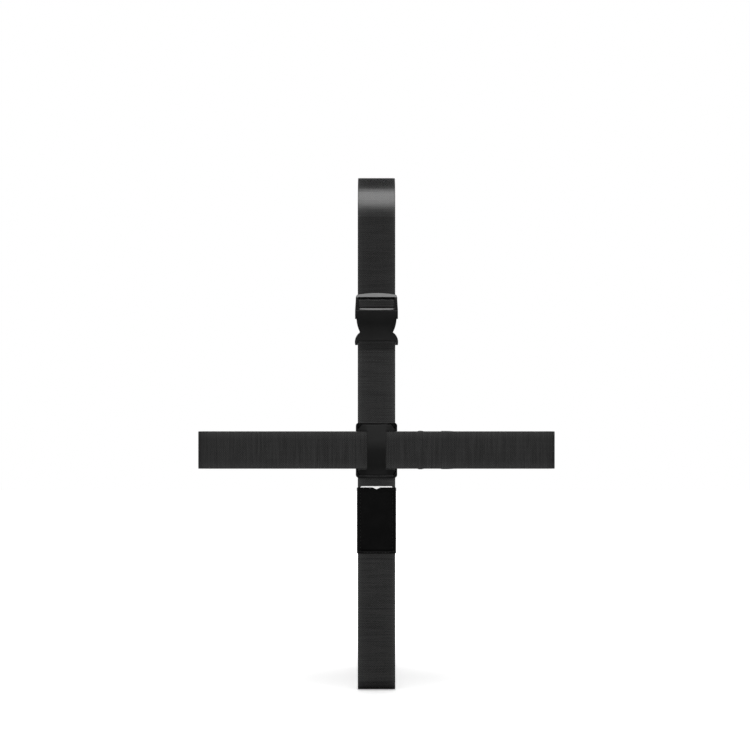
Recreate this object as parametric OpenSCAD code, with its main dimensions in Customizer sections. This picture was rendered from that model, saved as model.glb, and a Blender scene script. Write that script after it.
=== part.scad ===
// Cross luggage strap. An upright webbing loop and a level webbing loop cross at the front
// in a plastic connector. Each loop closes with a side-release buckle and a two-slot adjuster.
// Millimetres. +Z up, X across the front, the front faces -Y. The origin is the middle of the
// inner face of the upright loop's bottom run.

/* [Webbing] */
// webbing width
strap_w = 50; // [38:1:60]
// webbing thickness
strap_t = 1.5; // [1:0.1:2.5]
// clearance between two layers of webbing
layer_gap = 0.15; // [0.1:0.05:0.5]

/* [Loops] */
// inside height of the upright loop
loop_h = 688.4; // [450:1:760]
// inside depth of the upright loop
loop_d = 291; // [200:1:360]
// inside bend radius of the upright loop's two top corners
bend_top = 58; // [20:1:70]
// inside bend radius of the upright loop's two bottom corners
bend_base = 14; // [10:1:60]
// inside width of the level loop
loop_w = 475; // [300:1:560]
// inside bend radius of the level loop
bend_h = 14; // [10:1:60]
// height of the level loop's centre line
cross_z = 319.3; // [200:1:450]

/* [Buckles] */
// height of the front buckle's lower end
buckle_z = 459.3; // [400:1:500]
// distance of the rear buckle's socket end from the middle
rear_x = 62; // [50:1:90]
// overall buckle width at the ears
buckle_w = 57.6; // [50:0.1:64]
// distance the buckle body reaches behind the strap's inner face
back_s = 1.5; // [1:0.1:3]
// distance of the buckle's crowned face from the strap's inner face
face_s = 10.8; // [9:0.1:14]
// crown radius of the buckle's face
crown_r = 900; // [150:1:1200]
// clear width of the webbing slots
slot_w = 50.2; // [38.4:0.1:60.6]

/* [Socket] */
// length of the socket
socket_l = 45.4; // [40:0.1:50]
// width of the mouth ring
mouth_w = 57; // [50:0.1:60]
// inside width of the mouth
mouth_in = 48; // [42:0.1:52]
// lower end of the side windows
window_z0 = 15.8; // [14:0.1:20]
// upper end of the side windows, the edge the prongs latch under
window_z1 = 34.8; // [28:0.1:36]
// radius of the flared tail's outline
tail_r = 15.5; // [12:0.1:22]
// radius of the side outline between waist and mouth
side_r = 40.7; // [30:0.1:60]
// height of the lip the webbing leaves under
lip_z = 5.3; // [3:0.1:8]
// top of the space the folded webbing turns in
fold_top = 10.4; // [9:0.1:13]

/* [Plug] */
// lower face of the plug's base
base_z = 45.6; // [44:0.1:48]
// top of the base, lower edge of the lower slot
base_top = 48.4; // [47:0.1:52]
// lower edge of the top bar
bar_top_z0 = 63; // [60:0.1:66]
// crest of the top bar
plug_top = 68.9; // [66:0.1:74]
// radius of the arched top edge
arch_r = 140; // [60:1:200]
// width of the adjuster's opening at the face, between the side rails
window_w = 47.6; // [44:0.1:50]
// radius of that opening's lower corners
window_r = 2.6; // [1.5:0.1:5]
// depth at which the side rails start
lip_s = 7.9; // [7.7:0.1:9]
// width of the sloped lip round the opening's lower edge
lip_w = 2.2; // [0.5:0.1:3]
// depth of that lip
lip_depth = 1.3; // [0.5:0.1:2]
// width of the narrower slope along the opening's sides
side_lip_w = 1.4; // [0.5:0.1:2]
// depth of the side slopes
side_lip_depth = 0.8; // [0.4:0.1:1.5]
// depth at which the top bar's leaning face starts, at its lower edge
bar_s = 10.3; // [8:0.1:10.5]
// lean of the top bar's face in degrees
bar_lean = 28; // [10:1:40]
// distance of each prong's root from the middle
root_x = 15; // [12:0.5:18]
// radius of each prong's root
root_r = 1.8; // [1.2:0.1:2.4]
// lower end of the prongs
prong_z0 = 17.4; // [17:0.1:22]
// half width of the guide tongue
tongue_x = 7; // [4:0.5:9]

/* [Connector] */
// connector width
conn_w = 55.2; // [52:0.1:64]
// connector height
conn_h = 73.4; // [60:0.1:90]
// width of the bridge over the level strap
bridge_w = 24.6; // [15:0.1:35]
// distance of the bridge's face from the strap's inner face
bridge_s = 5.8; // [5:0.1:8]
// half width of the raised panel
panel_x = 23.4; // [18:0.1:25]
// depth the panel's grooves are cut down to
groove_s = 2.4; // [2:0.1:4]
// crown radius of the connector's face
conn_crown_r = 339; // [200:1:600]

/* [Label] */
// height of the backing strip's lower end
backing_z0 = 174.7; // [150:0.1:200]
// height of the backing strip's upper end
backing_z1 = 279.8; // [240:0.1:285]
// thickness of the backing strip
backing_t = 0.8; // [0.5:0.1:1.5]
// height of the pocket's closed lower end
pocket_z0 = 181.4; // [160:0.1:200]
// height of the pocket's open upper end
pocket_z1 = 269.5; // [240:0.1:275]
// pocket width
pocket_w = 52.4; // [40:0.1:60]
// thickness of the pocket sheet
pocket_t = 0.7; // [0.4:0.1:1.2]
// width of the welded edge
weld_w = 2.7; // [1.5:0.1:5]
// card width
card_w = 42.4; // [30:0.1:45]
// card height
card_h = 86; // [60:0.5:100]
// card thickness
card_t = 0.4; // [0.2:0.1:0.8]
// half width of the thumb notch
notch_x = 5.4; // [3:0.1:8]
// depth of the thumb notch
notch_d = 2.4; // [1:0.1:6]

/* [Hidden] */
$fn = 96;
half_t = strap_t / 2;
back_c = -(half_t + layer_gap);
level_d = loop_d + 2 * (strap_t + layer_gap);
takeup_z1 = loop_h - bend_top - buckle_z;
takeup_x1 = loop_w / 2 - bend_h - 2 - rear_x;
fold_start = -6;
adjuster_z = 64.5;
front_tail_z = 108;
rear_tail_z = 94;
waist_z = 16.6;
tail_cx = buckle_w / 2 - tail_r;
tail_cz = 3.5;
side_cz = 36;
side_cx = 26.7 - side_r;
cavity_s0 = 1.3;
cavity_s1 = 8.3;
prong_s0 = 2;
prong_s1 = 7.7;
socket_bar = [1, 5.1, 3.4, 7.6];
plug_bar = [2.4, 5.9, 51.6, 57.4];
channel_s = strap_t + layer_gap;
level_top_s = 2 * strap_t + 2 * layer_gap;
conn_back_s = strap_t + layer_gap;
level_zone = strap_w + 1;
conn_drop = 0.4;
card_top = pocket_z1 + 1.5;
card_s = strap_t + backing_t + 0.25;
sheet_s = card_s + card_t + 0.1;
pocket_s = sheet_s + pocket_t;
top_groove = [0.6, 2.6];
low_slot = [2.6, 4];
low_slot_w = 2 * panel_x - 1.2;
corner_cut = 9;
stitch_l = 2.4;
stitch_w = 0.5;
stitch_t = 0.2;
eps = 0.01;

webbing_col = [0.16, 0.16, 0.16];
plastic_col = [0.10, 0.10, 0.10];
sheet_col = [0.06, 0.06, 0.06];
card_col = [0.95, 0.95, 0.95];
thread_col = [0.20, 0.20, 0.20];

// ---- placing ----------------------------------------------------------------------------
// In a buckle's own frame X runs across the strap, Z along it towards the plug, -Y outwards.
// s is the distance outwards from the strap's inner face.

module front_place() {
    translate([0, -loop_d / 2, buckle_z])
        children();
}

module rear_place() {
    translate([rear_x, level_d / 2, cross_z])
        rotate([180, 0, 0])
            rotate([0, 90, 0])
                children();
}

// an X-Z outline given depth from s0 out to s1
module prism(s0, s1) {
    translate([0, -s0, 0])
        rotate([90, 0, 0])
            linear_extrude(s1 - s0)
                children();
}

// an (s, z) profile run across the strap
module across(w) {
    translate([-w / 2, 0, 0])
        rotate([90, 0, 90])
            linear_extrude(w)
                mirror([1, 0])
                    children();
}

// a box from x = -w/2 to w/2 between two depths and two heights
module slab(w, s0, s1, z0, z1) {
    translate([-w / 2, -s1, z0])
        cube([w, s1 - s0, z1 - z0]);
}

// a run of webbing seen edge on, through a list of centre-line points
module strip(points) {
    for (i = [0 : len(points) - 2]) {
        a = points[i];
        b = points[i + 1];
        translate(a)
            rotate(atan2(b[1] - a[1], b[0] - a[0]))
                translate([0, -half_t])
                    square([norm(b - a), strap_t]);
        if (i > 0)
            translate(a)
                circle(d = strap_t, $fn = 32);
    }
}

module rounded_rect(w, h, r) {
    square([w - 2 * r, h], center = true);
    square([w, h - 2 * r], center = true);
    for (x = [-1, 1], y = [-1, 1])
        translate([x * (w / 2 - r), y * (h / 2 - r)])
            circle(r);
}

// a rectangle with one radius for its upper corners and another for its lower ones
module loop_outline(w, h, r_up, r_low) {
    translate([-w / 2, r_low - h / 2])
        square([w, h - r_up - r_low]);
    translate([r_low - w / 2, -h / 2])
        square([w - 2 * r_low, h / 2]);
    translate([r_up - w / 2, 0])
        square([w - 2 * r_up, h / 2]);
    for (m = [-1, 1]) {
        translate([m * (w / 2 - r_low), r_low - h / 2])
            circle(r_low);
        translate([m * (w / 2 - r_up), h / 2 - r_up])
            circle(r_up);
    }
}

module loop_ring(w, h, r_up, r_low) {
    difference() {
        loop_outline(w + 2 * strap_t, h + 2 * strap_t, r_up + strap_t, r_low + strap_t);
        loop_outline(w, h, r_up, r_low);
    }
}

// a flat bar with round ends, between depths a[0], a[1] and heights a[2], a[3]
module bar_profile(a) {
    r = (a[1] - a[0]) / 2;
    translate([a[0], a[2] + r])
        square([2 * r, a[3] - a[2] - 2 * r]);
    for (z = [a[2] + r, a[3] - r])
        translate([a[0] + r, z])
            circle(r);
}

// ---- webbing ----------------------------------------------------------------------------
// the sewn fold round the socket's bar
socket_path = [[half_t, fold_start - 1], [half_t, fold_start], [6.3, 3.2], [6.3, 7.2],
               [4.8, 9], [0.6, 9], [back_c, 7.4], [back_c, -24]];

// the turn round the adjuster's middle bar, ending in the loose tail
function tail_path(end_z) = [[half_t, adjuster_z], [half_t, 61.9], [6.9, 57.9], [6.9, 51.2],
                             [5.7, 50], [0.3, 50], [back_c, 51.2], [back_c, end_z]];

module vertical_webbing() {
    color(webbing_col) {
        across(strap_w)
            difference() {
                translate([0, loop_h / 2])
                    loop_ring(loop_d, loop_h, bend_top, bend_base);
                translate([loop_d / 2 - 1, buckle_z + fold_start])
                    square([strap_t + 2, takeup_z1 - fold_start]);
            }
        front_place()
            across(strap_w)
                strip(socket_path);
    }
}

module vertical_takeup() {
    color(webbing_col)
        front_place()
            slab(strap_w, 0, strap_t, adjuster_z, takeup_z1);
}

module vertical_tail() {
    color(webbing_col)
        front_place()
            across(strap_w)
                strip(tail_path(front_tail_z));
}

module horizontal_webbing() {
    color(webbing_col) {
        translate([0, 0, cross_z - strap_w / 2])
            linear_extrude(strap_w)
                difference() {
                    loop_ring(loop_w, level_d, bend_h, bend_h);
                    translate([rear_x + fold_start, level_d / 2 - 1])
                        square([takeup_x1 - fold_start, strap_t + 2]);
                }
        rear_place()
            across(strap_w)
                strip(socket_path);
    }
}

module horizontal_takeup() {
    color(webbing_col)
        rear_place()
            slab(strap_w, 0, strap_t, adjuster_z, takeup_x1);
}

module horizontal_tail() {
    color(webbing_col)
        rear_place()
            across(strap_w)
                strip(tail_path(rear_tail_z));
}

// ---- buckle -----------------------------------------------------------------------------
// outline between waist and mouth, inset from the prong pads' outline
module side_outline(inset) {
    intersection_for (m = [0, 1])
        mirror([m, 0])
            translate([side_cx, side_cz])
                circle(side_r - inset, $fn = 180);
}

module tail_outline() {
    for (m = [-1, 1])
        translate([m * tail_cx, tail_cz])
            circle(tail_r);
    translate([-tail_cx, tail_cz - tail_r])
        square([2 * tail_cx, 2 * tail_r]);
}

module socket_outline() {
    translate([-mouth_w / 2, window_z1])
        square([mouth_w, socket_l - window_z1]);
    intersection() {
        side_outline(1.2);
        translate([-buckle_w / 2, waist_z - 1])
            square([buckle_w, window_z1 + 2 - waist_z]);
    }
    intersection() {
        tail_outline();
        translate([-buckle_w / 2, 0])
            square([buckle_w, waist_z]);
    }
}

module crown() {
    translate([0, crown_r - face_s, -1])
        cylinder(r = crown_r, h = plug_top + 10, $fn = 360);
}

module socket() {
    difference() {
        intersection() {
            prism(-back_s, face_s)
                socket_outline();
            crown();
        }
        slab(mouth_in, cavity_s0, cavity_s1, window_z0, socket_l + 1);
        slab(buckle_w + 4, cavity_s0, cavity_s1, window_z0, window_z1);
        slab(slot_w, -back_s - 1, cavity_s1 - 0.4, -1, fold_top);
        slab(slot_w, -back_s - 1, face_s + 1, -1, lip_z);
    }
    across(slot_w + 1)
        bar_profile(socket_bar);
}

module plug_outline() {
    intersection() {
        union() {
            polygon([[-28.5, base_z], [28.5, base_z], [27.6, 60], [-27.6, 60]]);
            translate([0, plug_top - 10])
                rounded_rect(55.2, 20, 7);
        }
        translate([0, plug_top - arch_r])
            circle(arch_r, $fn = 360);
        translate([-30, base_z])
            square([60, 30]);
    }
}

// the adjuster's opening at the face: square above, rounded below
module window_outline() {
    translate([-window_w / 2, base_top + window_r])
        square([window_w, bar_top_z0 - base_top - window_r]);
    translate([-window_w / 2 + window_r, base_top])
        square([window_w - 2 * window_r, bar_top_z0 - base_top]);
    for (m = [-1, 1])
        translate([m * (window_w / 2 - window_r), base_top + window_r])
            circle(window_r);
}

// depth of the crowned face at a distance x from the middle
function crown_s(x) = face_s - crown_r + sqrt(crown_r * crown_r - x * x);

// the slopes round the opening: along its lower edge, round the corners and up the sides
module lip_slope() {
    slope_s0 = face_s - lip_depth;
    side_s = crown_s(window_w / 2) - side_lip_depth;
    across(window_w - 2 * window_r)
        polygon([[slope_s0, base_top + 0.2], [slope_s0, base_top],
                 [slope_s0 + 2 * lip_depth, base_top - 2 * lip_w],
                 [slope_s0 + 2 * lip_depth, base_top + 0.2]]);
    for (m = [-1, 1])
        translate([m * (window_w / 2 - window_r), -slope_s0, base_top + window_r])
            rotate([90, 0, 0])
                cylinder(r1 = window_r, r2 = window_r + 2 * lip_w, h = 2 * lip_depth);
    for (m = [0, 1])
        mirror([m, 0, 0])
            translate([window_w / 2, -side_s, base_top + window_r])
                linear_extrude(bar_top_z0 - base_top - window_r)
                    polygon([[-0.2, 0], [0, 0], [2 * side_lip_w, -2 * side_lip_depth],
                             [-0.2, -2 * side_lip_depth]]);
}

// what is cut away in front of the top bar's leaning face
module bar_slope() {
    low = bar_top_z0 - (face_s + 1 - bar_s) / tan(bar_lean);
    high = plug_top + 1;
    across(buckle_w + 4)
        polygon([[face_s + 1, low], [bar_s - (high - bar_top_z0) * tan(bar_lean), high],
                 [face_s + 1, high]]);
}

module plug_frame() {
    difference() {
        intersection() {
            prism(-back_s, face_s)
                plug_outline();
            crown();
        }
        slab(slot_w, -back_s - 1, lip_s, base_top, bar_top_z0);
        prism(lip_s - 0.5, face_s + 1)
            window_outline();
        lip_slope();
        // room for the two strands behind the top bar
        slab(slot_w, -back_s - 1, strap_t + 0.3, bar_top_z0 - 3, plug_top + 1);
        bar_slope();
        // blind bores the prongs' roots turn in
        for (m = [-1, 1])
            translate([m * root_x, 5, base_z])
                rotate([90, 0, 0])
                    cylinder(r = root_r + 0.05, h = 5 + prong_s1 + 0.2);
    }
    across(slot_w + 1)
        bar_profile(plug_bar);
    slab(2 * tongue_x, 2.4, 7.4, prong_z0 + 2, base_z + 1);
}

// the right-hand prong: round root, arm, and the pad that latches under the mouth ring
module prong() {
    prism(prong_s0, prong_s1)
        translate([root_x, base_z])
            circle(root_r, $fn = 48);
    prism(prong_s0, prong_s1)
        polygon([[root_x - root_r + 0.3, base_z + 0.4], [root_x + root_r - 0.3, base_z + 0.4],
                 [21, window_z1 - 2], [16, window_z1 - 2]]);
    prism(prong_s0, prong_s1)
        intersection() {
            translate([side_cx, side_cz])
                circle(side_r, $fn = 180);
            translate([15.5, prong_z0])
                square([15, window_z1 - 0.2 - prong_z0]);
        }
}

// box of stitches through the fold below a socket
module seam() {
    for (x = [-20 : 4 : 20], z = [-9, -21])
        slab_at(x, z, stitch_l, stitch_w, strap_t);
    for (x = [-20, 20], z = [-18, -15, -12])
        slab_at(x, z, stitch_w, stitch_l - 0.3, strap_t);
}

module slab_at(x, z, w, h, s) {
    translate([x - w / 2, -(s + stitch_t), z - h / 2])
        cube([w, stitch_t, h]);
}

module front_socket() {
    color(plastic_col)
        front_place()
            socket();
}

module front_plug_frame() {
    color(plastic_col)
        front_place()
            plug_frame();
}

module front_prong_left() {
    color(plastic_col)
        front_place()
            mirror([1, 0, 0])
                prong();
}

module front_prong_right() {
    color(plastic_col)
        front_place()
            prong();
}

module front_seam() {
    color(thread_col)
        front_place()
            seam();
}

module rear_socket() {
    color(plastic_col)
        rear_place()
            socket();
}

module rear_plug_frame() {
    color(plastic_col)
        rear_place()
            plug_frame();
}

module rear_prong_left() {
    color(plastic_col)
        rear_place()
            mirror([1, 0, 0])
                prong();
}

module rear_prong_right() {
    color(plastic_col)
        rear_place()
            prong();
}

module rear_seam() {
    color(thread_col)
        rear_place()
            seam();
}

// ---- cross connector --------------------------------------------------------------------
module conn_outline() {
    rounded_rect(conn_w, conn_h, 4);
}

module cross_connector() {
    color(plastic_col)
        translate([0, -loop_d / 2, cross_z - conn_drop])
            difference() {
                intersection() {
                    prism(-conn_back_s, bridge_s)
                        conn_outline();
                    translate([-conn_w, conn_crown_r - bridge_s, 0])
                        rotate([0, 90, 0])
                            cylinder(r = conn_crown_r, h = 2 * conn_w, $fn = 360);
                }
                // the upright strap's channel
                slab(slot_w, -layer_gap, channel_s, -conn_h, conn_h);
                // the level strap's channel and the open ends beside the bridge
                slab(conn_w + 2, channel_s, level_top_s, conn_drop - level_zone / 2, conn_drop + level_zone / 2);
                for (m = [-1, 1])
                    translate([m * (bridge_w + conn_w + 2) / 2, 0, 0])
                        slab(conn_w + 2, channel_s, bridge_s + 1, conn_drop - level_zone / 2,
                             conn_drop + level_zone / 2);
                // sloped margins
                for (m = [0, 1])
                    mirror([m, 0, 0])
                        translate([0, 0, -conn_h])
                            linear_extrude(2 * conn_h)
                                polygon([[panel_x, -bridge_s - 0.2], [conn_w, -bridge_s - 0.2],
                                         [conn_w, 0], [conn_w / 2 + 0.1, -1.7]]);
                // grooves round the raised panel, and the slot through the lower band
                slab(conn_w - 4.6, groove_s, bridge_s + 1, conn_h / 2 - top_groove[1], conn_h / 2 - top_groove[0]);
                slab(low_slot_w, channel_s - 1, bridge_s + 1, low_slot[0] - conn_h / 2,
                     low_slot[1] - conn_h / 2);
                for (m = [0, 1])
                    mirror([m, 0, 0])
                        prism(groove_s, bridge_s + 1)
                            translate([panel_x - 1, 3.4 - conn_h / 2])
                                rotate(60)
                                    translate([0, -0.5])
                                        square([7, 1]);
                // the upper flange's corners are cut back to the groove
                for (m = [0, 1])
                    mirror([m, 0, 0])
                        prism(groove_s, bridge_s + 1)
                            polygon([[panel_x - 4, conn_h / 2 - 2.5], [conn_w / 2 - 2.3, conn_h / 2 - 2.5],
                                     [conn_w / 2 - 2.3, conn_h / 2 - corner_cut],
                                     [panel_x - 0.5, conn_h / 2 - corner_cut + 2]]);
                // the lower flange falls away from the level strap towards its ends
                for (m = [0, 1])
                    mirror([m, 0, 0])
                        prism(channel_s, bridge_s + 1)
                            polygon([[19, conn_drop - level_zone / 2 + 0.1],
                                     [conn_w, conn_drop - level_zone / 2 + 0.1],
                                     [conn_w, conn_drop - level_zone / 2 - 2],
                                     [panel_x + 1.2, conn_drop - level_zone / 2 - 1.6]]);
            }
}

// ---- label ------------------------------------------------------------------------------
module label_backing() {
    color(sheet_col)
        translate([0, -loop_d / 2, 0])
            slab(strap_w, strap_t, strap_t + backing_t, backing_z0, backing_z1);
}

module label_pocket() {
    color(sheet_col)
        translate([0, -loop_d / 2, 0])
            difference() {
                slab(pocket_w, strap_t + backing_t, pocket_s, pocket_z0, pocket_z1);
                slab(pocket_w - 2 * weld_w, strap_t + backing_t - 1, sheet_s, pocket_z0 + weld_w,
                     pocket_z1 + 1);
                prism(strap_t, pocket_s + 1)
                    polygon([[-notch_x, pocket_z1 + eps], [0, pocket_z1 - notch_d],
                             [notch_x, pocket_z1 + eps]]);
            }
}

module name_card() {
    color(card_col)
        translate([0, -loop_d / 2, 0])
            slab(card_w, card_s, card_s + card_t, card_top - card_h, card_top);
}

module label_stitching() {
    color(thread_col)
        translate([0, -loop_d / 2, 0]) {
            for (x = [-20 : 4 : 20])
                slab_at(x, backing_z1 - 3.5, stitch_l, stitch_w, strap_t + backing_t);
            for (x = [-16 : 4 : 16])
                slab_at(x, pocket_z0 + 1.4, stitch_l, stitch_w, pocket_s);
            for (x = [-21.5, 21.5], i = [0 : 18])
                slab_at(x, pocket_z0 + 3.4 + i * 4.5, stitch_w, stitch_l, pocket_s);
        }
}

vertical_webbing();
vertical_takeup();
vertical_tail();
front_socket();
front_plug_frame();
front_prong_left();
front_prong_right();
front_seam();
cross_connector();
label_backing();
label_pocket();
name_card();
label_stitching();
horizontal_webbing();
horizontal_takeup();
horizontal_tail();
rear_socket();
rear_plug_frame();
rear_prong_left();
rear_prong_right();
rear_seam();
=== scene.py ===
import math

import bmesh
import bpy
import numpy as np
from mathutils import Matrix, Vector


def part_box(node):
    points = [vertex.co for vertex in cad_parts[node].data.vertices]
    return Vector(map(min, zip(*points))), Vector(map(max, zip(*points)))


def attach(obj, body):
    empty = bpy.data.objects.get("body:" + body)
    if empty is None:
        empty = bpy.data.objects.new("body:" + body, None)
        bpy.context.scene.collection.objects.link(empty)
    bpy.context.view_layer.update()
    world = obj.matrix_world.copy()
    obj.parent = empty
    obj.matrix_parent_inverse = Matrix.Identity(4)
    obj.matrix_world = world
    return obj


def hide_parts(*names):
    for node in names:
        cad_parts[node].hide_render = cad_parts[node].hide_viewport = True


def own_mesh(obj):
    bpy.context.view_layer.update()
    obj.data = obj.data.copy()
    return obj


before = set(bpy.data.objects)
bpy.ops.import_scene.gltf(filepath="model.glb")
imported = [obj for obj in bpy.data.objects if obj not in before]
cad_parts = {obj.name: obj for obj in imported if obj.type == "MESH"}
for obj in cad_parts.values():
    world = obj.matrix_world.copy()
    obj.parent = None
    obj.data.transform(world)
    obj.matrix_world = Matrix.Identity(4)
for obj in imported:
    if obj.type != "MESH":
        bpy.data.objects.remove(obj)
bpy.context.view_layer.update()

MM = 0.001


# ------------------------------------------------------------------ sizes read from the frame
def mm(v):
    return [c / MM for c in v]


take_lo, take_hi = map(mm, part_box("vertical_takeup"))
level_lo, level_hi = map(mm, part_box("horizontal_takeup"))
vert_lo, vert_hi = map(mm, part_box("vertical_webbing"))
hor_lo, hor_hi = map(mm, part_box("horizontal_webbing"))
back_lo, back_hi = map(mm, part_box("label_backing"))
pocket_lo, pocket_hi = map(mm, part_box("label_pocket"))
card_lo, card_hi = map(mm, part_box("name_card"))

W = take_hi[0] - take_lo[0]                 # webbing width
T = take_hi[1] - take_lo[1]                 # webbing thickness
FRONT_Y = take_hi[1]                        # inner face of the upright loop's front run
BUCKLE_Z = mm(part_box("front_socket")[0])[2]     # the front buckle's lower end
REAR_X = mm(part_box("rear_socket")[0])[0]        # the rear buckle's left end
REAR_Y = level_lo[1]                        # inner face of the level loop's back run
CROSS_Z = (hor_lo[2] + hor_hi[2]) / 2
ADJ = take_lo[2] - BUCKLE_Z                 # where the take-up run meets the adjuster
VERT_TAIL_END = mm(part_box("vertical_tail")[1])[2] - BUCKLE_Z
HOR_TAIL_END = mm(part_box("horizontal_tail")[1])[0] - REAR_X
HALF = T / 2
LAYER_GAP = 0.15                            # between the strap and the layer behind it
BACK = -(HALF + LAYER_GAP)                  # centre of the layer behind the strap

# the sewn fold round the socket's bar: how far out it turns, where it starts and tops out, its free end
FOLD_OUT = 6.3
FOLD_TOP = 9.0
FOLD_START = 3.2
FOLD_END = -24
STRAP_START = -6.5                          # where the strap below the buckle runs straight
FOLD_BENDS = [1.7, 1.7, 3.5, 7.0]

# the turn round the adjuster's middle bar: how far out, and its heights in the upper and lower slot
TURN_OUT = 6.9
SLOT_ENTRY = 62.4
TURN_TOP = 59.7
TURN_LOW = 49.5
TURN_BENDS = [1.4, 1.3, 1.3, 1.6]


# ------------------------------------------------------------------ paths
class Path:
    """A centre line of straight runs and arcs through corner points, each corner with its bend radius."""

    def __init__(self, points, radii):
        p = [np.array(q, float) for q in points]
        self.parts = []
        at = p[0]
        for i in range(1, len(p)):
            if i < len(p) - 1:
                u = (p[i] - p[i - 1]) / np.linalg.norm(p[i] - p[i - 1])
                v = (p[i + 1] - p[i]) / np.linalg.norm(p[i + 1] - p[i])
                turn = math.atan2(u[0] * v[1] - u[1] * v[0], float(u @ v))
                cut = radii[i - 1] * math.tan(abs(turn) / 2)
                end = p[i] - u * cut
                self.line(at, end)
                side = 1 if turn > 0 else -1
                n = np.array([-u[1], u[0]]) * side
                self.parts.append(("arc", end + n * radii[i - 1], radii[i - 1],
                                   math.atan2(-n[1], -n[0]), turn, abs(turn) * radii[i - 1]))
                at = p[i] + v * cut
            else:
                self.line(at, p[i])
        self.ends = np.cumsum([q[-1] for q in self.parts])
        self.length = float(self.ends[-1])

    def line(self, a, b):
        d = b - a
        n = float(np.linalg.norm(d))
        if n > 1e-9:
            self.parts.append(("line", a, d / n, n))

    def at(self, length):
        """Points and unit tangents at the given lengths along the path."""
        length = np.clip(np.asarray(length, float), 0, self.length)
        which = np.clip(np.searchsorted(self.ends, length), 0, len(self.parts) - 1)
        pts = np.zeros((len(length), 2))
        tan = np.zeros((len(length), 2))
        for i, q in enumerate(self.parts):
            m = which == i
            if not m.any():
                continue
            t = length[m] - (self.ends[i] - q[-1])
            if q[0] == "line":
                pts[m] = q[1] + t[:, None] * q[2]
                tan[m] = q[2]
            else:
                _, c, r, a0, turn, n = q
                a = a0 + turn * t / n
                pts[m] = c + r * np.stack([np.cos(a), np.sin(a)], 1)
                s = 1 if turn > 0 else -1
                tan[m] = s * np.stack([-np.sin(a), np.cos(a)], 1)
        return pts, tan


def strap_path(near, far, low, high, bend_low, bend_high, tail_end):
    """One webbing from its sewn fold round the loop to its loose tail, as (s, z) in a buckle's frame:
    s outwards from the strap's inner face, z along it towards the plug."""
    fold = [(BACK, FOLD_END), (BACK, FOLD_TOP), (FOLD_OUT, FOLD_TOP), (FOLD_OUT, FOLD_START)]
    loop = [(near, STRAP_START), (near, low), (far, low), (far, high), (near, high), (near, SLOT_ENTRY)]
    turn = [(TURN_OUT, TURN_TOP), (TURN_OUT, TURN_LOW), (BACK, TURN_LOW), (BACK, tail_end)]
    radii = FOLD_BENDS + [bend_low, bend_low, bend_high, bend_high] + TURN_BENDS
    return Path(fold + loop + turn, radii)


# centre-line radii of the loops' corners; the level take-up run stops short of its corner
BASE_BEND = 14 + HALF
TOP_BEND = vert_hi[2] - T - take_hi[2] + HALF
SIDE_STRAIGHT = 2
SIDE_BEND = hor_hi[0] - T - level_hi[0] - SIDE_STRAIGHT + HALF

vert_d = (vert_hi[1] - HALF) - FRONT_Y
vert_path = strap_path(HALF, -vert_d, vert_lo[2] + HALF - BUCKLE_Z, vert_hi[2] - HALF - BUCKLE_Z,
                       BASE_BEND, TOP_BEND, VERT_TAIL_END)
hor_d = REAR_Y - (hor_lo[1] + HALF)
hor_path = strap_path(HALF, -hor_d, hor_lo[0] + HALF - REAR_X, hor_hi[0] - HALF - REAR_X,
                      SIDE_BEND, SIDE_BEND, HOR_TAIL_END)


def front_map(w, s, z):
    return np.stack([w, FRONT_Y - s, BUCKLE_Z + z], -1) * MM


def rear_map(w, s, z):
    return np.stack([REAR_X + z, REAR_Y + s, CROSS_Z + w], -1) * MM


# ------------------------------------------------------------------ materials
def new_material(name):
    m = bpy.data.materials.new(name)
    m.use_nodes = True
    nt = m.node_tree
    nt.nodes.clear()
    out = nt.nodes.new("ShaderNodeOutputMaterial")
    bsdf = nt.nodes.new("ShaderNodeBsdfPrincipled")
    nt.links.new(bsdf.outputs[0], out.inputs[0])
    return m, nt, bsdf


def node(nt, kind, **values):
    n = nt.nodes.new(kind)
    for k, v in values.items():
        if k in n.inputs:
            n.inputs[k].default_value = v
        else:
            setattr(n, k, v)
    return n


def math_node(nt, op, a, b=None, c=None, clamp=False):
    n = nt.nodes.new("ShaderNodeMath")
    n.operation = op
    n.use_clamp = clamp
    for i, v in enumerate((a, b, c)):
        if v is None:
            continue
        if isinstance(v, (int, float)):
            n.inputs[i].default_value = v
        else:
            nt.links.new(v, n.inputs[i])
    return n.outputs[0]


def ramp(nt, fac, stops):
    n = nt.nodes.new("ShaderNodeValToRGB")
    els = n.color_ramp.elements
    while len(els) < len(stops):
        els.new(0.5)
    for e, (pos, level) in zip(els, stops):
        e.position = pos
        e.color = (*level, 1) if isinstance(level, tuple) else (level, level, level, 1)
    nt.links.new(fac, n.inputs[0])
    return n.outputs[0]


def multiply(nt, a, b):
    n = node(nt, "ShaderNodeMixRGB", blend_type="MULTIPLY")
    n.inputs[0].default_value = 1.0
    nt.links.new(a, n.inputs[1])
    nt.links.new(b, n.inputs[2])
    return n.outputs[0]


def noise(nt, vector, scale, detail=2.0, rough=0.6, stretch=None):
    if stretch:
        mp = node(nt, "ShaderNodeMapping")
        mp.inputs["Scale"].default_value = stretch
        nt.links.new(vector, mp.inputs[0])
        vector = mp.outputs[0]
    n = node(nt, "ShaderNodeTexNoise", Scale=scale, Detail=detail, Roughness=rough)
    nt.links.new(vector, n.inputs["Vector"])
    return n.outputs[0]


def bump(nt, bsdf, height, strength, distance):
    n = node(nt, "ShaderNodeBump", Strength=strength, Distance=distance)
    nt.links.new(height, n.inputs["Height"])
    nt.links.new(n.outputs[0], bsdf.inputs["Normal"])


RIB = 2.8            # rib pitch along the webbing, mm
COLS = 32            # warp yarns across the webbing


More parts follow.
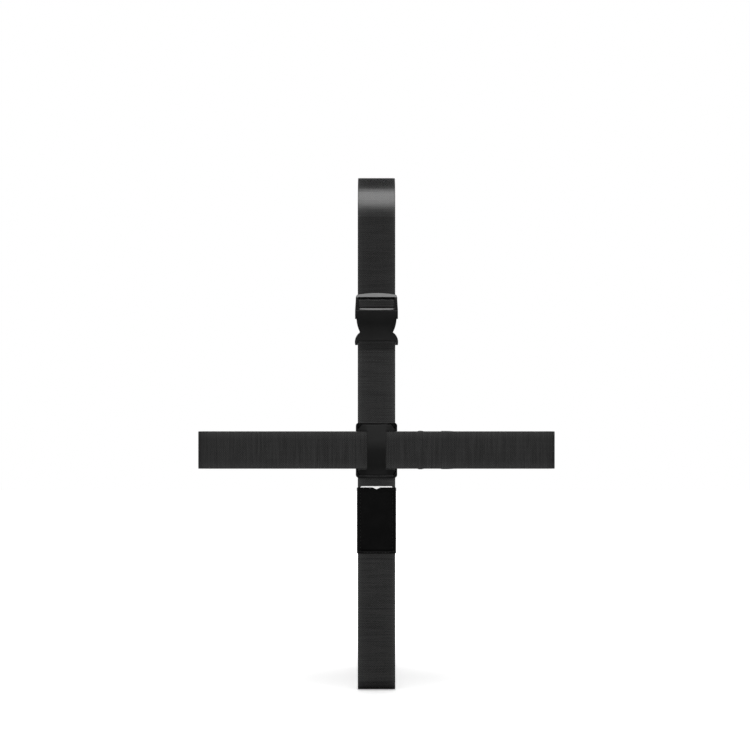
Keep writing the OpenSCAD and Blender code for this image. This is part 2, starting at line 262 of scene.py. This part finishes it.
def webbing_material(name, width, cols, level=1.0):
    """Black woven webbing. The UV map "strap" holds millimetres: u across, v along."""
    m, nt, bsdf = new_material(name)
    uv = node(nt, "ShaderNodeUVMap", uv_map="strap").outputs[0]
    sep = node(nt, "ShaderNodeSeparateXYZ")
    nt.links.new(uv, sep.inputs[0])
    u, v = sep.outputs[0], sep.outputs[1]
    # warp yarns side by side; each one dives under the weft half a rib after its neighbour
    col = math_node(nt, "MULTIPLY", u, cols / width)
    colf = math_node(nt, "FRACT", col)
    odd = math_node(nt, "MODULO", math_node(nt, "FLOOR", col), 2.0)
    stagger = math_node(nt, "MULTIPLY", odd, 0.5)
    ribf = math_node(nt, "FRACT", math_node(nt, "MULTIPLY_ADD", v, 1 / RIB, stagger))
    across = math_node(nt, "SINE", math_node(nt, "MULTIPLY", colf, math.pi))
    along = math_node(nt, "SINE", math_node(nt, "MULTIPLY", ribf, math.pi))
    yarn = math_node(nt, "MULTIPLY",
                     math_node(nt, "POWER", across, 0.6), math_node(nt, "POWER", along, 0.5))
    filaments = noise(nt, uv, 1.0, 2.0, 0.6, (9.0, 0.9, 1.0))
    fuzz = noise(nt, uv, 3.0, 3.0, 0.7)
    height = math_node(nt, "ADD", yarn, math_node(nt, "MULTIPLY", filaments, 0.35))
    height = math_node(nt, "MULTIPLY_ADD", fuzz, 0.12, height)
    bump(nt, bsdf, height, 0.34, 0.00020)
    # colour: dark between the yarns, faded a little along the run, paler towards the woven edges,
    # partly their own tone and partly painted sheen where the edges curve
    body = ramp(nt, yarn, [(0.0, 0.009 * level), (0.7, 0.031 * level), (1.0, 0.040 * level)])
    faded = ramp(nt, noise(nt, uv, 0.03, 3.0), [(0.3, 0.92), (0.7, 1.08)])
    rows = ramp(nt, noise(nt, uv, 1.0, 1.0, 0.5, (0.02, 0.55, 1.0)), [(0.3, 0.76), (0.7, 1.24)])
    edge = math_node(nt, "ABSOLUTE", math_node(nt, "SUBTRACT", u, width / 2))
    # painted sheen and edge tone: the colour is lifted towards the curving edges
    edge_tone_and_sheen = ramp(nt, math_node(nt, "MULTIPLY", edge, 2 / width),
                    [(0.50, 1.0), (0.72, 1.14), (0.84, 1.36), (1.0, 1.6)])
    colour = multiply(nt, multiply(nt, multiply(nt, body, faded), rows), edge_tone_and_sheen)
    nt.links.new(colour, bsdf.inputs["Base Color"])
    nt.links.new(math_node(nt, "MULTIPLY_ADD", filaments, 0.10, 0.22), bsdf.inputs["Roughness"])
    bsdf.inputs["Specular IOR Level"].default_value = 0.5
    bsdf.inputs["Sheen Weight"].default_value = 0.02
    bsdf.inputs["Sheen Roughness"].default_value = 0.4
    bsdf.inputs["Sheen Tint"].default_value = (0.8, 0.8, 0.8, 1)
    return m


def painted_crevice_shade(nt, distance):
    """Painted shade in grooves and slots, worked out from the piece's own shape: a factor that darkens colour
    and reflections.
    """
    ao = node(nt, "ShaderNodeAmbientOcclusion", Distance=distance, samples=8, only_local=True)
    return ramp(nt, ao.outputs["AO"], [(0.55, 0.05), (0.96, 1.0)])


def plastic_material(name, painted_light_tones, sides=((0.0, 1.0), (1.0, 1.0)), rough=0.34, spec=0.45):
    """Moulded plastic: fine spark-eroded grain, faint flow marks, edges rubbed smoother and paler,
    and painted shade in its grooves and slots.
    tones: (share of the piece's height, grey level), painted light and shade set by height.
    sides: (share of the way from the middle to the sides, factor), painted shade towards the sides."""
    m, nt, bsdf = new_material(name)
    texture = node(nt, "ShaderNodeTexCoord")
    at = texture.outputs["Object"]
    sep = node(nt, "ShaderNodeSeparateXYZ")
    nt.links.new(texture.outputs["Generated"], sep.inputs[0])
    aside = math_node(nt, "ABSOLUTE", math_node(nt, "MULTIPLY_ADD", sep.outputs[0], 2.0, -1.0))
    # painted light and shade: the grey level is set by height and, where sides are given, darkened towards
    # the sides
    painted_light_grey = multiply(nt, ramp(nt, sep.outputs[2], painted_light_tones), ramp(nt, aside, sides))
    slow = noise(nt, at, 70.0, 3.0)
    flow = noise(nt, at, 35.0, 2.0, 0.5, (1.0, 1.0, 0.35))
    edge = ramp(nt, node(nt, "ShaderNodeNewGeometry").outputs["Pointiness"], [(0.50, 0.0), (0.56, 1.0)])
    col = node(nt, "ShaderNodeMixRGB", blend_type="ADD")
    nt.links.new(painted_light_grey, col.inputs[1])
    col.inputs[2].default_value = (0.010, 0.010, 0.010, 1)
    nt.links.new(math_node(nt, "MULTIPLY", edge, 0.5), col.inputs[0])
    tone = ramp(nt, flow, [(0.3, 0.85), (0.7, 1.15)])
    # painted shade: grooves and slots darken the colour and the reflections
    shade = painted_crevice_shade(nt, 0.004)
    colour = multiply(nt, multiply(nt, col.outputs[0], tone), shade)
    nt.links.new(colour, bsdf.inputs["Base Color"])
    r = math_node(nt, "MULTIPLY_ADD", slow, 0.16, rough - 0.08)
    r = math_node(nt, "SUBTRACT", r, math_node(nt, "MULTIPLY", edge, 0.05))
    nt.links.new(r, bsdf.inputs["Roughness"])
    bump(nt, bsdf, noise(nt, at, 2600.0), 0.10, 0.00005)
    nt.links.new(math_node(nt, "MULTIPLY", shade, spec), bsdf.inputs["Specular IOR Level"])
    return m


def sheet_material():
    """Coated sheet of the label pocket: near black, faint pebble, satin."""
    m, nt, bsdf = new_material("coated_sheet")
    at = node(nt, "ShaderNodeTexCoord").outputs["Object"]
    vor = node(nt, "ShaderNodeTexVoronoi", Scale=1300.0)
    nt.links.new(at, vor.inputs["Vector"])
    slow = noise(nt, at, 60.0, 3.0)
    nt.links.new(ramp(nt, slow, [(0.3, 0.0016), (0.7, 0.0028)]), bsdf.inputs["Base Color"])
    nt.links.new(math_node(nt, "MULTIPLY_ADD", slow, 0.14, 0.40), bsdf.inputs["Roughness"])
    bump(nt, bsdf, vor.outputs[0], 0.14, 0.00006)
    bsdf.inputs["Specular IOR Level"].default_value = 0.16
    return m


def card_material():
    m, nt, bsdf = new_material("name_card")
    at = node(nt, "ShaderNodeTexCoord").outputs["Object"]
    fibres = noise(nt, at, 900.0, 4.0)
    paper = ramp(nt, fibres, [(0.3, (0.80, 0.80, 0.79)), (0.7, (0.90, 0.90, 0.89))])
    nt.links.new(paper, bsdf.inputs["Base Color"])
    bump(nt, bsdf, fibres, 0.2, 0.00004)
    bsdf.inputs["Roughness"].default_value = 0.7
    # painted light: the paper glows a little, brighter than the lamps alone light it
    bsdf.inputs["Emission Color"].default_value = (1, 1, 1, 1)
    bsdf.inputs["Emission Strength"].default_value = 0.25
    return m


def thread_material(name, level):
    m, nt, bsdf = new_material(name)
    at = node(nt, "ShaderNodeTexCoord").outputs["Object"]
    wave = node(nt, "ShaderNodeTexWave", Scale=1400.0, Distortion=1.0)
    nt.links.new(at, wave.inputs["Vector"])
    nt.links.new(ramp(nt, wave.outputs[0], [(0.2, 0.4 * level), (0.8, level)]), bsdf.inputs["Base Color"])
    bump(nt, bsdf, wave.outputs[0], 0.2, 0.00005)
    bsdf.inputs["Roughness"].default_value = 0.45
    return m


WEBBING = webbing_material("woven_webbing", W, COLS)
TAKEUP = webbing_material("woven_webbing_takeup", W, COLS, 0.72)
TAPE = webbing_material("woven_tape", W, 40, 1.05)
# painted light and shade: each plastic's grey steps lighter and darker with height; the connector is painted
# darker towards its sides
SOCKET_PLASTIC = plastic_material("socket_plastic",
                                  [(0.0, 0.0125), (0.30, 0.0075), (0.62, 0.0016), (1.0, 0.0055)])
PLUG_PLASTIC = plastic_material("plug_plastic", [(0.0, 0.0030), (1.0, 0.0070)], rough=0.31, spec=0.60)
LINK_PLASTIC = plastic_material("connector_plastic",
                                [(0.10, 0.0085), (0.22, 0.0042), (0.50, 0.0055), (0.68, 0.016)],
                                sides=[(0.42, 1.0), (0.55, 0.50), (0.85, 0.35)])
SHEET = sheet_material()
CARD = card_material()
THREAD = thread_material("sewing_thread", 0.055)
LABEL_THREAD = thread_material("label_thread", 0.014)


# ------------------------------------------------------------------ webbing
def cross_section(thick, flat_points=5):
    """(w, h, relief) round the webbing: w across, h outwards, and the share of the rib relief taken there.
    Each edge has a rounded woven bead."""
    bead = [(0.0, 0.0), (0.006, 0.75), (0.016, 1.0), (0.026, 0.80), (0.034, 0.90)]
    up = [(-0.5 + x, h, 0.3) for x, h in bead]
    up += [(x, 0.92, 1.0) for x in np.linspace(-0.46, 0.46, flat_points)]
    up += [(0.5 - x, h, 0.3) for x, h in reversed(bead)]
    top = [(x * W, h * thick, r) for x, h, r in up]
    low = [(x * W, -h * thick, r) for x, h, r in reversed(up[1:-1])]
    return np.array(top + low)


def link(name, verts, faces, material):
    """A new object in the scene: four-cornered faces are shaded smooth, end caps stay flat."""
    me = bpy.data.meshes.new(name)
    me.from_pydata(np.asarray(verts).reshape(-1, 3).tolist(), [], faces)
    me.materials.append(material)
    me.polygons.foreach_set("use_smooth", [len(f) == 4 for f in faces])
    ob = bpy.data.objects.new(name, me)
    bpy.context.scene.collection.objects.link(ob)
    return ob


def webbing(name, path, l0, l1, place, body, joint=0.0,
            thick=HALF - 0.10, relief=0.10, rib=RIB, material=None):
    """A run of webbing between two lengths along a path, with rounded crosswise ribs.
    joint: a length where the outer face has the crest of a rib, so that two runs meet there unseen."""
    step = rib / 5
    n = max(2, int(round((l1 - l0) / step)))
    ls = np.linspace(l0, l1, n + 1)
    pts, tan = path.at(ls)
    nrm = np.stack([tan[:, 1], -tan[:, 0]], 1)
    sec = cross_section(thick)
    k = len(sec)
    verts = np.zeros((n + 1, k, 3))
    uvs = np.zeros((n + 1, k, 2))
    for j, (w, h, share) in enumerate(sec):
        # the ribs of the two faces are half a pitch apart
        side = 1 if h >= 0 else -1
        wave = np.abs(np.sin(math.pi * ((ls - joint) / rib + (0 if side > 0 else 0.5))))
        hh = h + side * relief * share * (wave ** 0.7 - 0.45)
        verts[:, j] = place(np.full(n + 1, w), pts[:, 0] + nrm[:, 0] * hh, pts[:, 1] + nrm[:, 1] * hh)
        uvs[:, j, 0] = w + W / 2
        uvs[:, j, 1] = ls - joint
    idx = np.arange((n + 1) * k).reshape(n + 1, k)
    quads = np.stack([idx[:-1], np.roll(idx[:-1], -1, 1),
                      np.roll(idx[1:], -1, 1), idx[1:]], -1).reshape(-1, 4)
    # the end faces come first and have sharp rims, so that shared corners are shaded as part of the sides
    ob = link(name, verts, [list(idx[0][::-1]), list(idx[-1])] + quads.tolist(), material or WEBBING)
    me = ob.data
    ends = np.zeros(2 * len(me.edges), int)
    me.edges.foreach_get("vertices", ends)
    me.edges.foreach_set("use_edge_sharp", np.isin(ends.reshape(-1, 2), [idx[0], idx[-1]]).all(axis=1))
    lay = me.uv_layers.new(name="strap")
    loops = np.zeros(len(me.loops), int)
    me.loops.foreach_get("vertex_index", loops)
    lay.data.foreach_set("uv", uvs.reshape(-1, 2)[loops].astype(np.float32).ravel())
    outward(ob)
    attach(ob, body)
    return ob


def outward(ob):
    bm = bmesh.new()
    bm.from_mesh(ob.data)
    bmesh.ops.recalc_face_normals(bm, faces=bm.faces)
    bm.to_mesh(ob.data)
    bm.free()


def split_lengths(path, takeup_high, adj):
    """Lengths along the path where the fixed webbing ends and where the take-up run ends, both on the
    straight run that comes down to the buckle, in the path's last stretch."""
    ls = np.linspace(0, path.length, 60001)
    pts, _ = path.at(ls)
    run = (np.abs(pts[:, 0] - HALF) < 0.02) & (ls > path.length * 0.6)
    hi = float(ls[run & (pts[:, 1] <= takeup_high)][0])
    lo = float(ls[run & (pts[:, 1] >= adj)][-1])
    return hi, lo


v_hi, v_lo = split_lengths(vert_path, take_hi[2] - BUCKLE_Z, ADJ)
h_hi, h_lo = split_lengths(hor_path, level_hi[0] - REAR_X, ADJ)

upright = webbing("upright_webbing", vert_path, 0, v_hi, front_map, "vertical_loop", v_hi)
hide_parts("vertical_webbing")
upright_take = webbing("upright_takeup", vert_path, v_hi, v_lo, front_map, "vertical_loop", v_hi,
                       material=TAKEUP)
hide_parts("vertical_takeup")
upright_tail = webbing("upright_tail", vert_path, v_lo, vert_path.length, front_map, "front_plug", v_hi,
                       material=TAKEUP)
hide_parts("vertical_tail")
level = webbing("level_webbing", hor_path, 0, h_hi, rear_map, "level_loop", h_hi)
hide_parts("horizontal_webbing")
level_take = webbing("level_takeup", hor_path, h_hi, h_lo, rear_map, "level_loop", h_hi,
                     material=TAKEUP)
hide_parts("horizontal_takeup")
level_tail = webbing("level_tail", hor_path, h_lo, hor_path.length, rear_map, "rear_plug", h_hi,
                     material=TAKEUP)
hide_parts("horizontal_tail")


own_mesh(upright_take)
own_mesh(level_take)


# ------------------------------------------------------------------ moulded parts
def moulded(cad, name, body, material, voxel, rounds=4):
    """The CAD node's own shape with its edges rounded as a mould leaves them."""
    ob = bpy.data.objects.new(name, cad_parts[cad].data.copy())
    bpy.context.scene.collection.objects.link(ob)
    weld = ob.modifiers.new("weld", "WELD")
    weld.merge_threshold = 1e-6
    remesh = ob.modifiers.new("remesh", "REMESH")
    remesh.mode = "VOXEL"
    remesh.voxel_size = voxel * MM
    smooth = ob.modifiers.new("smooth", "SMOOTH")
    smooth.factor = 0.5
    smooth.iterations = rounds
    bpy.context.view_layer.update()
    dg = bpy.context.evaluated_depsgraph_get()
    made = bpy.data.meshes.new_from_object(ob.evaluated_get(dg), depsgraph=dg)
    ob.modifiers.clear()
    ob.data = made
    made.materials.clear()
    made.materials.append(material)
    made.polygons.foreach_set("use_smooth", [True] * len(made.polygons))
    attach(ob, body)
    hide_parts(cad)
    return ob


FINE, COARSE = 0.22, 0.3
moulded("front_socket", "front_socket_moulding", "vertical_loop", SOCKET_PLASTIC, FINE)
moulded("front_plug_frame", "front_plug_moulding", "front_plug", PLUG_PLASTIC, FINE)
moulded("front_prong_left", "front_left_prong", "front_prong_l", PLUG_PLASTIC, FINE)
moulded("front_prong_right", "front_right_prong", "front_prong_r", PLUG_PLASTIC, FINE)
moulded("rear_socket", "rear_socket_moulding", "level_loop", SOCKET_PLASTIC, COARSE)
moulded("rear_plug_frame", "rear_plug_moulding", "rear_plug", PLUG_PLASTIC, FINE)
moulded("rear_prong_left", "rear_left_prong", "rear_prong_l", PLUG_PLASTIC, FINE)
moulded("rear_prong_right", "rear_right_prong", "rear_prong_r", PLUG_PLASTIC, FINE)
moulded("cross_connector", "connector_moulding", "connector", LINK_PLASTIC, FINE, 2)


# ------------------------------------------------------------------ label
def smoothstep(a, b, x):
    t = np.clip((x - a) / (b - a), 0, 1)
    return t * t * (3 - 2 * t)


def front_point(x, s, z):
    return np.stack(np.broadcast_arrays(x, FRONT_Y - s, z), -1) * MM


def grid_faces(g):
    return np.stack([g[:-1, :-1], g[:-1, 1:], g[1:, 1:], g[1:, :-1]], -1).reshape(-1, 4)


def grid_rim(g):
    return np.concatenate([g[0, :-1], g[:-1, -1], g[-1, :0:-1], g[:0:-1, 0]])


def sheet(name, x, z, s_out, s_in, material):
    """A closed thin sheet from grids of x, z and its outer and inner distance from the strap's inner face."""
    nv, nu = x.shape
    verts = np.concatenate([front_point(x, s_out, z).reshape(-1, 3), front_point(x, s_in, z).reshape(-1, 3)])
    a = np.arange(nv * nu).reshape(nv, nu)
    b = a + nv * nu
    faces = grid_faces(a).tolist() + grid_faces(b)[:, ::-1].tolist()
    ring_a = grid_rim(a)
    ring_b = grid_rim(b)
    faces += np.stack([ring_b, np.roll(ring_b, -1), np.roll(ring_a, -1), ring_a], -1).tolist()
    ob = link(name, verts, faces, material)
    outward(ob)
    return ob


backing_s = T + (FRONT_Y - T - back_lo[1]) / 2
backing_path = Path([(backing_s, back_lo[2]), (backing_s, back_hi[2])], [])
backing = webbing("label_tape", backing_path, 0, backing_path.length, front_point, "vertical_loop",
                  thick=0.36, relief=0.10, rib=1.9, material=TAPE)
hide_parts("label_backing")

POCKET_W = pocket_hi[0] - pocket_lo[0]
POCKET_BACK = FRONT_Y - pocket_hi[1]            # where the pocket meets the tape
POCKET_FACE = FRONT_Y - pocket_lo[1]
SHEET_T = 0.45
WELD = 2.7                                      # welded margin
WELD_GROOVE = 0.14                              # depth of the line pressed along it
HEM = 2.6                                       # folded hem at the bottom
HEM_RISE = 0.30
MOUTH_RISE = 0.30                               # the sheet stands off the card at its mouth
CORNER = 1.2
NOTCH_X, NOTCH_D = 5.4, 2.4                     # the thumb notch's half width and depth


def pocket_surface(x, z):
    """Outer face of the pocket: flat on its welded margins, lifted over the card, slightly wavy."""
    side = POCKET_W / 2 - np.abs(x)
    low = z - pocket_lo[2]
    lift = smoothstep(WELD, WELD + 2.2, side) * smoothstep(HEM, HEM + 3.0, low)
    flat = POCKET_BACK + SHEET_T + 0.12
    s = flat + (POCKET_FACE - flat) * lift
    s = s - WELD_GROOVE * np.exp(-((side - WELD) / 0.35) ** 2) * smoothstep(0, HEM, low)
    s = s + HEM_RISE * (1 - smoothstep(HEM - 0.4, HEM, low))
    mouth = smoothstep(7.0, 0.0, pocket_hi[2] - z)
    waves = 0.05 * np.sin(x * 0.21 + 1.0) * np.sin(z * 0.13)
    return s + lift * (MOUTH_RISE * mouth + waves)


def pocket():
    """The pocket's sheet, with a thumb notch in its mouth."""
    u = np.linspace(-1, 1, 97)
    v = np.concatenate([np.linspace(0, 0.08, 22)[:-1], np.linspace(0.08, 0.92, 50)[:-1],
                        np.linspace(0.92, 1, 16)])
    x, t = np.meshgrid(u * POCKET_W / 2, v)
    rounding = 0.6 * CORNER * np.clip(1 - (POCKET_W / 2 - np.abs(x)) / CORNER, 0, 1) ** 2
    top = pocket_hi[2] - NOTCH_D * np.clip(1 - np.abs(x) / NOTCH_X, 0, 1) - rounding
    z = (pocket_lo[2] + rounding) * (1 - t) + top * t
    out = pocket_surface(x, z)
    inner = np.maximum(out - SHEET_T, POCKET_BACK + 0.01)
    ob = sheet("label_pocket_sheet", x, z, out, inner, SHEET)
    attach(ob, "vertical_loop")
    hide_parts("label_pocket")


pocket()


def card():
    """The paper card, slightly bowed, with rounded corners."""
    w, h = card_hi[0] - card_lo[0], card_hi[2] - card_lo[2]
    corner = 1.8
    v = np.concatenate([np.linspace(0, corner, 8)[:-1], np.linspace(corner, h - corner, 40)[:-1],
                        np.linspace(h - corner, h, 8)])
    u, z = np.meshgrid(np.linspace(-1, 1, 33), v)
    near = np.minimum(np.minimum(z, h - z), corner)
    half = w / 2 - corner + np.sqrt(np.maximum(corner ** 2 - (corner - near) ** 2, 0.02))
    x = u * half
    back = FRONT_Y - card_hi[1] + 0.08 * np.cos(x / w * math.pi)
    ob = sheet("paper_card", x, z + card_lo[2], back + (card_hi[1] - card_lo[1]), back, CARD)
    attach(ob, "card")
    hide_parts("name_card")


card()


# ------------------------------------------------------------------ stitching
def stitches(name, items, surface, place, body, cad, material, length=2.6, radius=0.26):
    """Thread stitches, each a two-ply thread that rises out of the cloth and dives back in.
    items: (x, z, along) with along True for a stitch that runs along z."""
    rings, sides = 13, 12
    t = np.linspace(-1, 1, rings)[:, None]
    phi = np.linspace(0, 2 * math.pi, sides, endpoint=False)[None]
    ply = 1 + 0.16 * np.cos(2 * phi - 5.0 * t)
    r = radius * np.sqrt(np.maximum(1 - np.abs(t) ** 3.5, 0.03)) * ply
    run = t * length / 2 + 0 * phi
    side = r * np.cos(phi)
    rise = r * np.sin(phi) * 0.8 + 0.20 * (1 - t ** 2) - 0.10
    verts, faces = [], []
    ring = np.arange(sides)
    for x, z, along in items:
        first = len(verts) * rings * sides
        px = x + (side if along else run)
        pz = z + (run if along else side)
        verts.append(place(px.ravel(), (surface(px, pz) + rise).ravel(), pz.ravel()))
        faces.append((first + ring[::-1]).tolist())
        faces.append((first + (rings - 1) * sides + ring).tolist())
        for i in range(rings - 1):
            lo = first + i * sides
            for j in range(sides):
                k = (j + 1) % sides
                faces.append([lo + j, lo + k, lo + sides + k, lo + sides + j])
    ob = link(name, np.concatenate(verts), faces, material)
    outward(ob)
    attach(ob, body)
    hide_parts(cad)


def on_strap(x, z):
    return np.full_like(x, T - 0.16)


# stitches of a sewn fold: two rows across the strap, joined by a short row near each edge
ACROSS = range(-20, 21, 4)
seam = [(x, z, False) for z in (-9, -21) for x in ACROSS]
seam += [(x, z, True) for x in (-20, 20) for z in (-18, -15, -12)]
stitches("front_seam_thread", seam, on_strap, front_map, "vertical_loop", "front_seam", THREAD)
stitches("rear_seam_thread", seam, on_strap, rear_map, "level_loop", "rear_seam", THREAD)


def on_label(x, z):
    return np.where(z > pocket_hi[2], FRONT_Y - back_lo[1] - 0.08, pocket_surface(x, z))


# stitches of the label: a row above the pocket, a row along its hem and one up each side
SIDE_ROW_X, SIDE_ROW_STEP = 21.5, 4.5
label = [(x, back_hi[2] - 3.5, False) for x in ACROSS]
label += [(x, pocket_lo[2] + 1.4, False) for x in range(-16, 17, 4)]
label += [(x, pocket_lo[2] + 3.4 + i * SIDE_ROW_STEP, True)
          for x in (-SIDE_ROW_X, SIDE_ROW_X) for i in range(19)]
stitches("label_thread", label, on_label, front_point, "vertical_loop", "label_stitching", LABEL_THREAD)

# ------------------------------------------------------------------ stage, light, camera
FLOOR_Z = vert_lo[2] * MM
FRONT_FACE = (FRONT_Y - T) * MM


def floor():
    half = 12.0
    corners = [(x * half, y * half, FLOOR_Z) for x, y in [(-1, -1), (1, -1), (1, 1), (-1, 1)]]
    m, nt, bsdf = new_material("pale_floor")
    bsdf.inputs["Base Color"].default_value = (0.9, 0.9, 0.9, 1)
    bsdf.inputs["Roughness"].default_value = 0.8
    bsdf.inputs["Specular IOR Level"].default_value = 0.1
    # the camera sees it fade to plain white away from the object; it throws little light back
    at = node(nt, "ShaderNodeTexCoord").outputs["Object"]
    dist = node(nt, "ShaderNodeVectorMath", operation="LENGTH")
    nt.links.new(at, dist.inputs[0])
    fade = math_node(nt, "MULTIPLY_ADD", dist.outputs["Value"], 0.9, 0.18, clamp=True)
    bsdf.inputs["Emission Color"].default_value = (1, 1, 1, 1)
    nt.links.new(fade, bsdf.inputs["Emission Strength"])
    dim = node(nt, "ShaderNodeBsdfDiffuse")
    dim.inputs[0].default_value = (0.10, 0.10, 0.10, 1)
    mix = nt.nodes.new("ShaderNodeMixShader")
    nt.links.new(node(nt, "ShaderNodeLightPath").outputs["Is Camera Ray"], mix.inputs[0])
    nt.links.new(dim.outputs[0], mix.inputs[1])
    nt.links.new(bsdf.outputs[0], mix.inputs[2])
    out = [n for n in nt.nodes if n.type == "OUTPUT_MATERIAL"][0]
    nt.links.new(mix.outputs[0], out.inputs[0])
    link("floor", corners, [[0, 1, 2, 3]], m)


floor()


def softbox(name, elevation, azimuth, size, radiance, gleam, distance=2.6, target=(0, FRONT_FACE, 0.45)):
    """A rectangular lamp seen from the target at an elevation, azimuth measured from the front.
    gleam: it shows in reflections only, otherwise it only lights surfaces."""
    e, a = math.radians(elevation), math.radians(azimuth)
    d = Vector((math.sin(a) * math.cos(e), -math.cos(a) * math.cos(e), math.sin(e)))
    lamp = bpy.data.lights.new(name, "AREA")
    lamp.shape = "RECTANGLE"
    lamp.size, lamp.size_y = size
    lamp.energy = radiance * math.pi * size[0] * size[1]
    ob = bpy.data.objects.new(name, lamp)
    ob.visible_diffuse = not gleam
    ob.visible_glossy = gleam
    ob.location = Vector(target) + d * distance
    ob.rotation_mode = "QUATERNION"
    ob.rotation_quaternion = (-d).to_track_quat("-Z", "Y")
    bpy.context.scene.collection.objects.link(ob)


softbox("key_gleam", 62, 0, (1.2, 2.2), 5.6, True)
softbox("back_gleam", 15, 180, (2.4, 0.6), 1.0, True)
softbox("key_fill", 5, 0, (3.0, 1.6), 0.92, False, 1.4, (0, FRONT_FACE, 0.34))
softbox("back_fill", 40, 180, (3.0, 2.4), 0.5, False)


def studio():
    """A pale room: plain white to the camera, dim in reflections, soft light from all round."""
    world = bpy.data.worlds.new("studio")
    bpy.context.scene.world = world
    world.use_nodes = True
    nt = world.node_tree
    nt.nodes.clear()
    seen = node(nt, "ShaderNodeBackground", Strength=1.0)
    seen.inputs[0].default_value = (1, 1, 1, 1)
    mirrored = node(nt, "ShaderNodeBackground", Strength=1.0)
    ambient = node(nt, "ShaderNodeBackground", Strength=1.0)
    at = node(nt, "ShaderNodeTexCoord").outputs["Generated"]
    sep = node(nt, "ShaderNodeSeparateXYZ")
    nt.links.new(at, sep.inputs[0])
    height = math_node(nt, "MULTIPLY_ADD", sep.outputs[2], 0.5, 0.5)
    nt.links.new(ramp(nt, height, [(0.0, 0.08), (0.48, 0.08), (0.60, 0.20), (0.75, 0.26), (1.0, 0.10)]),
                 mirrored.inputs[0])
    # reflections of what lies behind the object are dim, so its outline stays dark
    depth = math_node(nt, "MULTIPLY_ADD", sep.outputs[1], 0.5, 0.5)
    nt.links.new(ramp(nt, depth, [(0.40, 1.0), (0.60, 0.25)]), mirrored.inputs[1])
    nt.links.new(ramp(nt, height, [(0.0, 0.45), (0.5, 0.65), (1.0, 0.85)]), ambient.inputs[0])
    path = node(nt, "ShaderNodeLightPath")
    kinds = nt.nodes.new("ShaderNodeMixShader")
    nt.links.new(path.outputs["Is Glossy Ray"], kinds.inputs[0])
    nt.links.new(ambient.outputs[0], kinds.inputs[1])
    nt.links.new(mirrored.outputs[0], kinds.inputs[2])
    mix = nt.nodes.new("ShaderNodeMixShader")
    nt.links.new(path.outputs["Is Camera Ray"], mix.inputs[0])
    nt.links.new(kinds.outputs[0], mix.inputs[1])
    nt.links.new(seen.outputs[0], mix.inputs[2])
    out = nt.nodes.new("ShaderNodeOutputWorld")
    nt.links.new(mix.outputs[0], out.inputs[0])


studio()


def camera():
    """Square to the front at the level strap's height; the frame is then shifted to hold the whole strap."""
    distance = 2.5
    aside = -0.002
    frame_w = 1.0                              # metres the frame spans at the front run
    frame_mid_z = 0.4193
    data = bpy.data.cameras.new("camera")
    cam = bpy.data.objects.new("camera", data)
    bpy.context.scene.collection.objects.link(cam)
    bpy.context.scene.camera = cam
    cam.location = (aside, FRONT_FACE - distance, CROSS_Z * MM)
    cam.rotation_euler = (math.pi / 2, 0, 0)
    data.sensor_width = 36
    data.lens = data.sensor_width * distance / frame_w
    data.shift_y = (frame_mid_z - CROSS_Z * MM) / frame_w
    data.clip_start = 0.05
    data.clip_end = 60


camera()
bpy.context.scene.view_settings.view_transform = "Standard"
